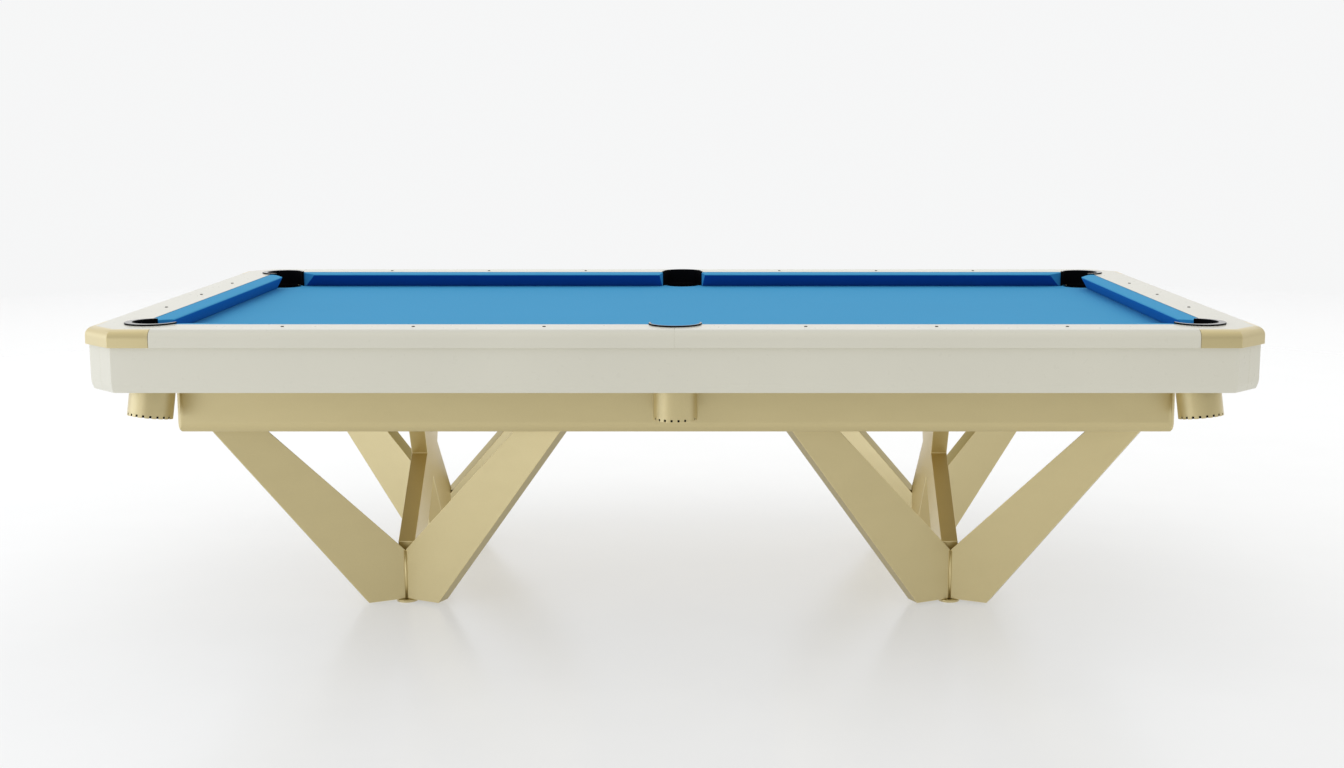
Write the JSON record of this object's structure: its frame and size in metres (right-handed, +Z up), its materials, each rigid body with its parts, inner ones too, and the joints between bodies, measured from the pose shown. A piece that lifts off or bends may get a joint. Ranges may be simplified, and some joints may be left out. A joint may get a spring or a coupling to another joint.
{
  "type": "pool table",
  "caption": "Pool table with white chamfered rails, blue cloth bed, drop pockets with metal cups, and a champagne metal frame on splayed V pedestals with levelling feet.",
  "frame": {"origin": "floor level under the middle of the table", "axes": "+X along the length, +Y across the width, +Z up"},
  "size_m": [2.872, 1.602, 0.804],
  "materials": {
    "white_lacquer": "satin lacquer",
    "champagne_metal": "satin champagne anodised",
    "bed_cloth": "worsted billiard cloth",
    "cushion_cloth": "cloth-covered rubber",
    "pocket_rubber": "moulded matt black",
    "slate": "honed slate",
    "sight": "polished inlay",
    "zinc_steel": "zinc plated"
  },
  "bodies": {
    "table": {"bed_cloth": "bed_cloth", "slate_left": "slate", "slate_centre": "slate", "slate_right": "slate", "rail_front_left": "white_lacquer", "rail_front_right": "white_lacquer", "rail_rear_left": "white_lacquer", "rail_rear_right": "white_lacquer", "rail_left_end": "white_lacquer", "rail_right_end": "white_lacquer", "corner_caps": "champagne_metal", "sights": "sight", "cushion_front_left": "cushion_cloth", "cushion_front_right": "cushion_cloth", "cushion_rear_left": "cushion_cloth", "cushion_rear_right": "cushion_cloth", "cushion_left_end": "cushion_cloth", "cushion_right_end": "cushion_cloth", "pocket_liner_front_left": "pocket_rubber", "pocket_liner_front_centre": "pocket_rubber", "pocket_liner_front_right": "pocket_rubber", "pocket_liner_rear_left": "pocket_rubber", "pocket_liner_rear_centre": "pocket_rubber", "pocket_liner_rear_right": "pocket_rubber", "pocket_cup_front_left": "champagne_metal", "pocket_cup_front_centre": "champagne_metal", "pocket_cup_front_right": "champagne_metal", "pocket_cup_rear_left": "champagne_metal", "pocket_cup_rear_centre": "champagne_metal", "pocket_cup_rear_right": "champagne_metal", "apron_front": "white_lacquer", "apron_rear": "white_lacquer", "apron_left": "white_lacquer", "apron_right": "white_lacquer", "frame_beam_front": "champagne_metal", "frame_beam_rear": "champagne_metal", "frame_beam_left": "champagne_metal", "frame_beam_right": "champagne_metal", "frame_cross_members": "champagne_metal", "left_front_outer_arm": "champagne_metal", "left_front_inner_arm": "champagne_metal", "left_rear_outer_arm": "champagne_metal", "left_rear_inner_arm": "champagne_metal", "right_front_outer_arm": "champagne_metal", "right_front_inner_arm": "champagne_metal", "right_rear_outer_arm": "champagne_metal", "right_rear_inner_arm": "champagne_metal", "left_brace": "champagne_metal", "right_brace": "champagne_metal", "rail_bolts": "zinc_steel", "leg_bolts": "zinc_steel", "countersunk_screws": "zinc_steel"},
    "levelling_pad_left_front": {"leveller_pad_left_front": "champagne_metal"},
    "levelling_stud_left_front": {"leveller_stud_left_front": "zinc_steel"},
    "levelling_pad_left_rear": {"leveller_pad_left_rear": "champagne_metal"},
    "levelling_stud_left_rear": {"leveller_stud_left_rear": "zinc_steel"},
    "levelling_pad_right_front": {"leveller_pad_right_front": "champagne_metal"},
    "levelling_stud_right_front": {"leveller_stud_right_front": "zinc_steel"},
    "levelling_pad_right_rear": {"leveller_pad_right_rear": "champagne_metal"},
    "levelling_stud_right_rear": {"leveller_stud_right_rear": "zinc_steel"}
  },
  "joints": [
    {"name": "left_front_leveller_travel", "type": "slide", "parent": "table", "child": "levelling_pad_left_front", "axis": [0, 0, -1], "range_m": [0, 0.02]},
    {"name": "left_front_leveller_turn", "type": "hinge", "parent": "levelling_pad_left_front", "child": "levelling_stud_left_front", "pos_m": [-0.738, -0.342, 0], "axis": [0, 0, -1], "range_deg": [0, 3600]},
    {"name": "left_rear_leveller_travel", "type": "slide", "parent": "table", "child": "levelling_pad_left_rear", "axis": [0, 0, -1], "range_m": [0, 0.02]},
    {"name": "left_rear_leveller_turn", "type": "hinge", "parent": "levelling_pad_left_rear", "child": "levelling_stud_left_rear", "pos_m": [-0.738, 0.342, 0], "axis": [0, 0, -1], "range_deg": [0, 3600]},
    {"name": "right_front_leveller_travel", "type": "slide", "parent": "table", "child": "levelling_pad_right_front", "axis": [0, 0, -1], "range_m": [0, 0.02]},
    {"name": "right_front_leveller_turn", "type": "hinge", "parent": "levelling_pad_right_front", "child": "levelling_stud_right_front", "pos_m": [0.738, -0.342, 0], "axis": [0, 0, -1], "range_deg": [0, 3600]},
    {"name": "right_rear_leveller_travel", "type": "slide", "parent": "table", "child": "levelling_pad_right_rear", "axis": [0, 0, -1], "range_m": [0, 0.02]},
    {"name": "right_rear_leveller_turn", "type": "hinge", "parent": "levelling_pad_right_rear", "child": "levelling_stud_right_rear", "pos_m": [0.738, 0.342, 0], "axis": [0, 0, -1], "range_deg": [0, 3600]}
  ],
  "couplings": [
    {"joint": "left_front_leveller_turn", "follows": "left_front_leveller_travel", "rad_per_m": 3141.6},
    {"joint": "left_rear_leveller_turn", "follows": "left_rear_leveller_travel", "rad_per_m": 3141.6},
    {"joint": "right_front_leveller_turn", "follows": "right_front_leveller_travel", "rad_per_m": 3141.6},
    {"joint": "right_rear_leveller_turn", "follows": "right_rear_leveller_travel", "rad_per_m": 3141.6}
  ]
}
